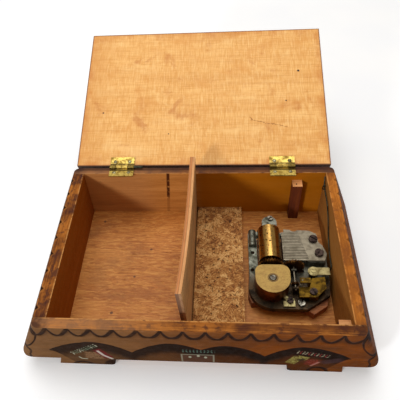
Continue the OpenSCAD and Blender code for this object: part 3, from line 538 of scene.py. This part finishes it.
def lid_wood():
    g = Graph("lid_maple")
    p = g.case()
    shut = g.add("ShaderNodeVectorRotate", rotation_type="X_AXIS")
    g.put(shut.inputs["Vector"], g.v("SUBTRACT", p, (0, AXIS_Y, AXIS_Z)))
    g.put(shut.inputs["Angle"], LID_OPEN)
    q = shut.outputs[0]
    turn = g.add("ShaderNodeVectorRotate", rotation_type="X_AXIS")
    g.put(turn.inputs["Vector"], g.normal())
    g.put(turn.inputs["Angle"], LID_OPEN)
    nx, ny, nz = g.xyz(turn.outputs[0])
    x, y, z = g.xyz(q)
    v = g.m("SUBTRACT", LID_BACK, y)
    base, height = grain(g, q, "x", srgb(222, 162, 86), srgb(236, 178, 100), srgb(243, 190, 114), 0.9, 31.0)
    # ripple figure: fine upright flames crossed by level fibres, like cloth
    upright = g.noise(g.v("MULTIPLY", q, (1, 0.06, 1)), 1.9, 4, 0.7, 0.25)
    level = g.noise(g.v("MULTIPLY", q, (0.035, 1, 1)), 1.9, 4, 0.7, 0.25)
    ripple = g.noise(g.v("MULTIPLY", q, (1, 0.3, 1)), 0.4, 4, 0.62, 0.5)
    broad = g.noise(g.v("MULTIPLY", q, (0.7, 1.3, 1)), 0.045, 5, 0.62, 0.7)
    cloud = g.noise(g.v("ADD", q, (70, 30, 0)), 0.05, 5, 0.65, 0.5)
    colour = g.mix(g.step(upright, 0.46, 0.66, 0.0, 0.5), base, srgb(208, 142, 62))
    colour = g.mix(g.step(level, 0.46, 0.66, 0.0, 0.55), colour, srgb(202, 136, 58))
    colour = g.mix(g.step(upright, 0.5, 0.36, 0.0, 0.4), colour, srgb(250, 212, 146))
    colour = g.mix(g.step(ripple, 0.52, 0.66, 0.0, 0.28), colour, srgb(206, 138, 62))
    colour = g.mix(g.step(broad, 0.5, 0.68, 0.0, 0.5), colour, srgb(214, 144, 62))
    colour = g.mix(g.step(broad, 0.46, 0.32, 0.0, 0.35), colour, srgb(250, 208, 140))
    colour = g.mix(g.step(cloud, 0.56, 0.7, 0.0, 0.6), colour, srgb(190, 114, 42))
    colour = g.mix(g.step(x, -52.0, -76.0, 0.0, 0.4), colour, srgb(206, 140, 66))
    sides = g.m("SUBTRACT", LID_HALF_W, g.m("ABSOLUTE", x))
    edge = g.m("MINIMUM", sides, g.m("MINIMUM", v, g.m("SUBTRACT", LID_DEPTH, v)))
    rag = g.noise(q, 0.12, 5, 0.65)
    colour = g.mix(g.step(g.m("ADD", edge, g.m("MULTIPLY", rag, 22.0)), 17.0, 7.0, 0.0, 0.65), colour,
                   srgb(196, 118, 44))
    colour = g.mix(g.m("MULTIPLY", g.step(edge, 0.9, 0.2), 0.85), colour, srgb(104, 54, 22))
    # marks: a knot, a crack, pits
    marks = g.any(g.spot(x, v, (60.6, 67.5), 0.62, 0.3), g.spot(x, v, (52.0, 45.0), 0.3, 0.3),
                  g.spot(x, v, (-20.5, 22.0), 0.25, 0.3), g.spot(x, v, (-63.0, 38.0), 0.3, 0.4))
    jag = g.m("ADD", v, g.m("MULTIPLY", g.m("SUBTRACT", g.noise(q, 0.35, 4, 0.7), 0.5), 4.0))
    crack = g.any(g.stripe(x, jag, (30.0, 31.0), (52.0, 26.0), 0.2, 0.3),
                  g.stripe(x, jag, (29.5, 33.5), (31.5, 30.5), 0.4, 0.35))
    colour = g.mix(g.m("MULTIPLY", g.all(crack, g.step(upright, 0.4, 0.5)), 0.8), colour, srgb(150, 84, 32))
    colour = g.mix(marks, colour, srgb(50, 24, 10))
    # outside of the lid and its edges are stained like the case
    stained, _ = grain(g, q, "x", srgb(62, 36, 18), srgb(92, 56, 28), srgb(116, 72, 36), 1.1, 41.0)
    wob = g.noise(q, 0.22, 3, 0.5)
    front_line, _ = scallops(g, x, g.m("SUBTRACT", 100.6, v), LID_PITCH, -LID_HALF_W, 6.2, 1.0, wob)
    side_line, _ = scallops(g, v, sides, LID_PITCH, 0.0, 6.2, 1.0, wob)
    lines = g.any(g.all(front_line, g.step(v, 90.0, 92.0)), g.all(side_line, g.step(sides, 9.0, 7.5)))
    outer = g.mix(lines, stained, srgb(22, 12, 9))
    is_inner = g.step(nz, -0.6, -0.85)
    is_outer = g.step(nz, 0.6, 0.85)
    colour = g.mix(is_inner, g.mix(0.6, stained, srgb(48, 24, 14)), colour)
    colour = g.mix(is_outer, colour, outer)
    height = g.m("SUBTRACT", height, g.m("MULTIPLY", g.any(marks, crack), 2.0))
    g.set(Base_Color=colour, Roughness=g.step(ripple, 0.3, 0.7, 0.46, 0.58), Normal=g.bump(height, 0.04))
    g.shader.inputs["Specular IOR Level"].default_value = 0.35
    return g.mat


def chipboard():
    """Pressed shavings: each cell has fibres that run its own way, with dark pits between."""
    g = Graph("chipboard")
    p = g.case()
    wander = g.add("ShaderNodeTexNoise")
    g.put(wander.inputs["Vector"], p)
    g.put(wander.inputs["Scale"], 0.5)
    warp = g.v("MULTIPLY_ADD", wander.outputs[1], (2.2, 2.2, 0.0), p)

    def flakes(size, offset):
        turn, shade, _ = g.xyz(g.cells(g.v("ADD", warp, offset), size, out="Color"))
        spin = g.add("ShaderNodeVectorRotate", rotation_type="Z_AXIS")
        g.put(spin.inputs["Vector"], g.v("ADD", p, offset))
        g.put(spin.inputs["Angle"], g.m("MULTIPLY", turn, 3.14))
        fibre = g.noise(g.v("MULTIPLY", spin.outputs[0], (0.26, 1.9, 1)), 1.0, 5, 0.68)
        return g.m("ADD", g.m("MULTIPLY", fibre, 0.84), g.m("MULTIPLY", shade, 0.16))

    big, small = flakes(0.17, (0, 0, 0)), flakes(0.5, (31, 17, 0))
    tone = g.m("ADD", g.m("MULTIPLY", big, 0.55), g.m("MULTIPLY", small, 0.45))
    colour = g.ramp(tone, (0.38, srgb(88, 44, 12)), (0.45, srgb(150, 92, 38)), (0.51, srgb(188, 128, 62)),
                    (0.58, srgb(232, 184, 118)))
    pits = g.all(g.step(g.noise(p, 0.6, 4, 0.7), 0.58, 0.64), g.step(small, 0.56, 0.44))
    grains = g.step(g.noise(p, 2.6, 2, 0.6), 0.67, 0.72)
    colour = g.mix(g.any(pits, g.m("MULTIPLY", grains, 0.7)), colour, srgb(52, 22, 8))
    height = g.m("SUBTRACT", tone, g.m("MULTIPLY", pits, 0.5))
    g.set(Base_Color=colour, Roughness=0.8, Normal=g.bump(height, 0.9))
    return g.mat


def plywood():
    """Three plies: pale faces along y, a darker core whose end grain shows at the edges."""
    g = Graph("plywood")
    p = g.case()
    uv = g.add("ShaderNodeAttribute", attribute_name="ply").outputs["Fac"]
    nx, ny, nz = g.xyz(g.normal())
    face, height = grain(g, p, "y", srgb(168, 124, 74), srgb(196, 148, 92), srgb(214, 168, 110), 0.7, 51.0)
    grey = g.noise(p, 0.09, 4, 0.6)
    face = g.mix(g.step(grey, 0.45, 0.65, 0.0, 0.5), face, srgb(160, 126, 88))
    edge, _ = grain(g, p, "y", srgb(188, 128, 74), srgb(220, 160, 102), srgb(238, 188, 132), 1.6, 57.0)
    core = g.step(uv, 0.56, 0.46)
    edge = g.mix(g.m("MULTIPLY", core, 0.7), edge, srgb(184, 108, 50))
    line = g.any(g.near(g.m("SUBTRACT", uv, 0.52), 0.02, 0.04),
                 g.near(g.m("SUBTRACT", uv, 0.12), 0.02, 0.04))
    edge = g.mix(g.m("MULTIPLY", line, 0.6), edge, srgb(110, 62, 28))
    is_top = g.step(nz, 0.6, 0.8)
    is_end = g.step(g.m("ABSOLUTE", ny), 0.6, 0.8)
    end = g.mix(g.m("MULTIPLY", core, 0.5), g.mix(0.65, edge, srgb(108, 84, 68)), srgb(84, 62, 50))
    colour = g.mix(is_top, face, edge)
    colour = g.mix(is_end, colour, end)
    g.set(Base_Color=colour, Roughness=0.7, Normal=g.bump(height, 0.18))
    return g.mat


def metal(name, base, dark, rough=0.35, metallic=1.0, spots=0.4, streak=None, seed=0.0, bump=0.05,
          dirt=None):
    """Aged metal: tarnish clouds, dirt spots, and fine streaks where it was ground."""
    g = Graph(name)
    p = g.case()
    cloud = g.noise(g.v("ADD", p, (seed, seed, seed)), 0.35, 6, 0.65, 0.4)
    colour = g.mix(g.step(cloud, 0.42, 0.64), base, dark)
    pit = g.noise(g.v("ADD", p, (seed, 3, 1)), 2.4, 3, 0.6)
    colour = g.mix(g.step(pit, 0.60, 0.70, 0.0, spots), colour, dirt or srgb(50, 36, 26))
    height = g.noise(p, 3.0, 3, 0.6)
    if streak:
        lines = g.noise(g.v("MULTIPLY", p, streak), 3.0, 4, 0.7)
        colour = g.mix(g.step(lines, 0.45, 0.62, 0.0, 0.5), colour, dark)
        height = lines
    r = g.step(cloud, 0.35, 0.65, rough, min(rough + 0.22, 0.9))
    g.set(Base_Color=colour, Metallic=metallic, Roughness=r, Normal=g.bump(height, bump))
    return g.mat


def cast_zinc():
    """The cast base: grey at the back, dark brown toward the front and under the cylinder."""
    g = Graph("cast_zinc")
    p = g.case()
    x, y, z = g.xyz(p)
    cloud = g.noise(g.v("ADD", p, (2, 2, 2)), 0.3, 6, 0.65, 0.4)
    colour = g.mix(g.step(cloud, 0.42, 0.64), srgb(128, 130, 118), srgb(72, 74, 62))
    front = g.step(g.m("ADD", y, g.m("MULTIPLY", cloud, 14.0)), 14.0, -6.0)
    colour = g.mix(g.m("MULTIPLY", front, 0.95), colour,
                   g.mix(g.step(cloud, 0.4, 0.6), srgb(54, 35, 11), srgb(26, 15, 4)))
    pit = g.noise(p, 2.4, 3, 0.6)
    colour = g.mix(g.step(pit, 0.60, 0.70, 0.0, 0.45), colour, srgb(44, 34, 20))
    g.set(Base_Color=colour, Metallic=0.85, Roughness=g.step(cloud, 0.35, 0.65, 0.34, 0.56),
          Normal=g.bump(g.noise(p, 3.0, 3, 0.6), 0.04))
    return g.mat


def hinge_brass():
    """Yellow brass leaves, dull and dark round the knuckles, bright on the middle one."""
    g = Graph("hinge_brass")
    p = g.case()
    x, y, z = g.xyz(p)
    cloud = g.noise(g.v("ADD", p, (19, 19, 19)), 0.35, 6, 0.65, 0.4)
    colour = g.mix(g.step(cloud, 0.42, 0.64), srgb(200, 174, 92), srgb(138, 110, 48))
    reach = g.v("LENGTH", g.vec(0.0, g.m("SUBTRACT", y, AXIS_Y), g.m("SUBTRACT", z, AXIS_Z)))
    middle = g.m("ABSOLUTE", g.m("SUBTRACT", g.m("ABSOLUTE", x), HINGE_X))
    ends = g.all(g.step(reach, 2.5, 1.9), g.step(middle, 3.0, 3.6))
    colour = g.mix(g.m("MULTIPLY", ends, 0.75), colour, srgb(74, 58, 24))
    slot = g.near(g.m("SUBTRACT", reach, 2.3), 0.25, 0.35)
    colour = g.mix(g.m("MULTIPLY", slot, 0.85), colour, srgb(38, 26, 10))
    pit = g.noise(p, 2.4, 3, 0.6)
    colour = g.mix(g.step(pit, 0.60, 0.70, 0.0, 0.6), colour, srgb(70, 46, 20))
    g.set(Base_Color=colour, Metallic=0.95, Roughness=g.step(cloud, 0.35, 0.65, 0.3, 0.52),
          Normal=g.bump(g.noise(p, 3.0, 3, 0.6), 0.08))
    return g.mat


def housing_brass():
    """Pale brushed cap with dark varnished sides."""
    g = Graph("housing_brass")
    p = g.case()
    nx, ny, nz = g.xyz(g.normal())
    c = g.v("SUBTRACT", p, SPRING_AXIS)
    ring = g.v("LENGTH", g.v("MULTIPLY", c, (1, 1, 0)))
    turned = g.noise(g.vec(g.m("MULTIPLY", ring, 3.0), 0.0, 0.0), 1.0, 3, 0.6)
    cloud = g.noise(p, 0.22, 5, 0.6)
    top = g.mix(g.step(turned, 0.4, 0.65, 0.0, 0.25), srgb(160, 130, 68), srgb(132, 102, 46))
    top = g.mix(g.step(cloud, 0.45, 0.68, 0.0, 0.5), top, srgb(118, 88, 40))
    top = g.mix(g.step(g.noise(p, 2.0, 3, 0.6), 0.58, 0.7, 0.0, 0.7), top, srgb(84, 56, 26))
    brushed = g.noise(g.v("MULTIPLY", p, (0.4, 3.2, 1)), 1.0, 4, 0.7)
    top = g.mix(g.step(brushed, 0.5, 0.62, 0.0, 0.4), top, srgb(104, 76, 38))
    top = g.mix(g.m("MULTIPLY", g.near(g.m("SUBTRACT", ring, 2.3), 0.35, 0.3), 0.7), top, srgb(64, 40, 18))
    top = g.mix(g.m("MULTIPLY", g.near(g.m("SUBTRACT", ring, 5.6), 0.12, 0.3), 0.3), top,
                srgb(140, 100, 54))
    side = g.mix(g.step(cloud, 0.4, 0.66), srgb(116, 62, 20), srgb(62, 26, 7))
    is_top = g.step(nz, 0.35, 0.75)
    g.set(Base_Color=g.mix(is_top, side, top), Metallic=g.step(is_top, 0.0, 1.0, 0.75, 0.6),
          Roughness=g.step(is_top, 0.0, 1.0, 0.3, 0.42),
          Normal=g.bump(g.m("MULTIPLY", turned, is_top), 0.03))
    return g.mat


def cylinder_brass():
    """Turned brass with scattered dark dots."""
    g = Graph("cylinder_brass")
    p = g.case()
    x, y, z = g.xyz(p)
    turned = g.noise(g.vec(0.0, g.m("MULTIPLY", y, 2.2), 0.0), 1.0, 3, 0.6)
    cloud = g.noise(p, 0.3, 5, 0.6)
    colour = g.mix(g.step(turned, 0.42, 0.62, 0.0, 0.3), srgb(192, 152, 84), srgb(158, 116, 56))
    colour = g.mix(g.step(cloud, 0.5, 0.7, 0.0, 0.4), colour, srgb(116, 74, 24))
    dots = g.step(g.cells(p, 0.42), 0.26, 0.18)
    colour = g.mix(g.m("MULTIPLY", dots, 0.9), colour, srgb(30, 18, 8))
    g.set(Base_Color=colour, Metallic=1.0, Roughness=g.step(cloud, 0.3, 0.7, 0.16, 0.24),
          Normal=g.bump(turned, 0.01))
    return g.mat


def paint(names, mat):
    for name in names.split():
        o = nodes[name]
        o.data.materials.clear()
        o.data.materials.append(mat)


paint("front_board", stained_case("front_board", "y", -1, 5.5))
paint("back_board", stained_case("back_board", "y", 1, 5.0))
paint("end_wall_l", stained_case("end_wall_l", "x", -1, 6.4))
paint("end_wall_r", stained_case("end_wall_r", "x", 1, 5.0))
paint("bottom_panel", floor_wood())
paint("lid_board", lid_wood())
paint("loose_panel", plywood())
paint("chip_strip", chipboard())
paint("post_back post_front", post_wood())
paint("packing_board", plain_wood("packing_board", "x", srgb(96, 50, 22), srgb(144, 84, 42),
                                  srgb(180, 116, 66), 0.7, 1.6, 67.0, srgb(60, 28, 12), 0.6))
zinc = cast_zinc()
steel = metal("comb_steel", srgb(142, 134, 116), srgb(128, 120, 103), 0.38, 0.85, 0.3, (0.04, 1, 1), 5.0,
              0.03, srgb(84, 62, 40))
dark_steel = metal("dark_screws", srgb(74, 60, 54), srgb(40, 30, 28), 0.4, 0.8, 0.4, seed=8.0, bump=0.05)
bright = metal("bright_steel", srgb(150, 146, 134), srgb(70, 64, 56), 0.2, 1.0, 0.3, seed=11.0)
hinge = hinge_brass()
gear_brass = metal("gear_brass", srgb(98, 62, 20), srgb(48, 25, 8), 0.34, 0.9, 0.5, seed=23.0)
olive = metal("olive_brass", srgb(112, 84, 10), srgb(70, 50, 2), 0.42, 0.8, 0.4, seed=29.0, bump=0.04)
pale = metal("pale_lever", srgb(176, 164, 116), srgb(132, 118, 76), 0.42, 0.8, 0.45, seed=31.0, bump=0.06)
wire = metal("spring_wire", srgb(66, 70, 58), srgb(24, 30, 24), 0.35, 0.85, 0.4, seed=37.0)
nail_steel = metal("nail_heads", srgb(172, 164, 128), srgb(98, 86, 58), 0.34, 0.9, 0.4, seed=41.0)
paint("movement_base", zinc)
paint("comb", steel)
paint("comb_screws bracket_screw click_screw", dark_steel)
paint("movement_screws ear_screw corner_screw winding_arbor winding_key", bright)
paint("hinge_leaf_box_l hinge_leaf_box_r hinge_leaf_lid_l hinge_leaf_lid_r", hinge)
paint("hinge_nails_box hinge_nails_lid", nail_steel)
paint("hinge_pin_l hinge_pin_r stop_wire wire_staple mainspring", wire)
paint("cylinder_barrel", cylinder_brass())
paint("cylinder_arbor ratchet_wheel governor_arbor worm", steel)
paint("cylinder_pins", dark_steel)
paint("cylinder_gear great_wheel governor_gear worm_wheel fly", gear_brass)
paint("spring_housing", housing_brass())
paint("click stop_lever lever_rivet", pale)
paint("governor_bracket", olive)


# ---- visible geometry ----


def mesh_object(name, verts, faces, mat, smooth=False):
    mesh = bpy.data.meshes.new(name)
    mesh.from_pydata([tuple(v) for v in verts], [], faces)
    mesh.update()
    o = bpy.data.objects.new(name, mesh)
    bpy.context.scene.collection.objects.link(o)
    mesh.materials.append(mat)
    for f in mesh.polygons:
        f.use_smooth = smooth
    return o


def soften(names, width, segments=2, angle=35):
    """Small worn edges on a CAD node."""
    for name in names.split():
        b = nodes[name].modifiers.new("worn", "BEVEL")
        b.width = width / 1000
        b.segments = segments
        b.limit_method = "ANGLE"
        b.angle_limit = math.radians(angle)
        b.harden_normals = False


def warped_panel():
    """The loose panel, leaning a little at the back and more at the front."""
    length, height, thick = 91.3, 47.0, 3.0
    back_y, foot_x, foot_z = 48.7, -6.3, 8.9
    across, up, deep = 3, 14, 30
    verts, ply = [], []
    index = {}
    faces = []

    def point(i, j, k):
        if (i, j, k) not in index:
            t, h, s = i / across, j / up, k / deep
            # upright at the back, curling to the left towards the front
            reach = (-0.6 + 0.5 * s + 2.5 * s ** 3) * (0.7 * h + 0.3 * h * h)
            lean = math.asin(reach / height)
            top = height * h
            if j == up:
                top += 0.25 * math.sin(7 * s + 1.0) + 0.12 * math.sin(31 * s)
            x = foot_x + thick * t - reach
            z = foot_z + thick * t * math.sin(lean) + top * math.cos(lean)
            index[i, j, k] = len(verts)
            verts.append(mm(x, back_y - length * s, z))
            ply.append(t)
        return index[i, j, k]

    for j in range(up):
        for k in range(deep):
            faces.append([point(0, j, k), point(0, j, k + 1), point(0, j + 1, k + 1), point(0, j + 1, k)])
            faces.append([point(across, j, k), point(across, j + 1, k), point(across, j + 1, k + 1),
                          point(across, j, k + 1)])
    for i in range(across):
        for k in range(deep):
            faces.append([point(i, up, k), point(i, up, k + 1), point(i + 1, up, k + 1),
                          point(i + 1, up, k)])
            faces.append([point(i, 0, k), point(i + 1, 0, k), point(i + 1, 0, k + 1), point(i, 0, k + 1)])
        for j in range(up):
            faces.append([point(i, j, 0), point(i, j + 1, 0), point(i + 1, j + 1, 0), point(i + 1, j, 0)])
            faces.append([point(i, j, deep), point(i + 1, j, deep), point(i + 1, j + 1, deep),
                          point(i, j + 1, deep)])
    o = mesh_object("warped_panel", verts, faces, nodes["loose_panel"].data.materials[0])
    layer = o.data.attributes.new("ply", "FLOAT", "POINT")
    for i, t in enumerate(ply):
        layer.data[i].value = t
    b = o.modifiers.new("worn", "BEVEL")
    b.width = 0.00025
    b.segments = 2
    b.limit_method = "ANGLE"
    b.angle_limit = math.radians(50)
    return o


panel = warped_panel()
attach(panel, "panel")
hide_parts("loose_panel")
soften("front_board back_board end_wall_l end_wall_r", 0.7, 3, 40)
soften("lid_board", 0.5, 3)
soften("chip_strip packing_board post_back post_front", 0.3)
soften("movement_base", 0.25, 2, 40)
soften("comb governor_bracket stop_lever click winding_key", 0.12, 2, 40)
soften("spring_housing", 0.6, 4, 60)
soften("hinge_leaf_box_l hinge_leaf_box_r hinge_leaf_lid_l hinge_leaf_lid_r", 0.12, 2, 40)

# ---- floor, light, camera ----
g = Graph("studio_floor")
p = g.case()
g.set(Base_Color=g.mix(g.step(g.noise(p, 0.02, 2, 0.5), 0.3, 0.7), srgb(244, 248, 254),
                       srgb(248, 251, 255)), Roughness=0.9,
      Emission_Color=srgb(255, 255, 255), Emission_Strength=0.16)
floor = mesh_object("studio_floor", [(-4, -4, 0), (4, -4, 0), (4, 4, 0), (-4, 4, 0)], [[0, 1, 2, 3]], g.mat)

world = bpy.data.worlds.new("studio")
world.use_nodes = True
world.node_tree.nodes["Background"].inputs[0].default_value = (1, 0.92, 0.82, 1)
world.node_tree.nodes["Background"].inputs[1].default_value = 0.38
bpy.context.scene.world = world


def area(name, at, target, size, watts, colour=(1, 1, 1)):
    light = bpy.data.lights.new(name, "AREA")
    light.size = size
    light.energy = watts
    light.color = colour
    o = bpy.data.objects.new(name, light)
    o.location = at
    o.rotation_euler = (Vector(target) - Vector(at)).to_track_quat("-Z", "Y").to_euler()
    bpy.context.scene.collection.objects.link(o)


area("key", (-0.50, -0.85, 0.40), (0, -0.03, 0.03), 0.12, 4.4)
area("top", (-0.05, 0.2, 0.9), (0, 0, 0.03), 0.8, 5.6, (1, 0.98, 0.95))

cam = bpy.data.cameras.new("photo_camera")
cam.sensor_width = 36
cam.lens = 44.22
cam.shift_x, cam.shift_y = 0.065, 0.0432
cam.clip_start = 0.01
cam_object = bpy.data.objects.new("photo_camera", cam)
pitch, yaw, roll = math.radians(48.83), math.radians(-8.38), math.radians(-6.13)
look = Vector((math.sin(yaw) * math.cos(pitch), math.cos(yaw) * math.cos(pitch), -math.sin(pitch)))
right0 = Vector((math.cos(yaw), -math.sin(yaw), 0))
up0 = right0.cross(look)
right = math.cos(roll) * right0 + math.sin(roll) * up0
up = -math.sin(roll) * right0 + math.cos(roll) * up0
rot = Matrix((right, up, -look)).transposed()
cam_object.matrix_world = Matrix.Translation(mm(12.185, -160.455, 244.926)) @ rot.to_4x4()
bpy.context.scene.collection.objects.link(cam_object)
bpy.context.scene.camera = cam_object

scene = bpy.context.scene
scene.render.resolution_x = scene.render.resolution_y = 1200
scene.view_settings.view_transform = "Standard"
scene.view_settings.look = "None"
scene.view_settings.exposure = 0.0
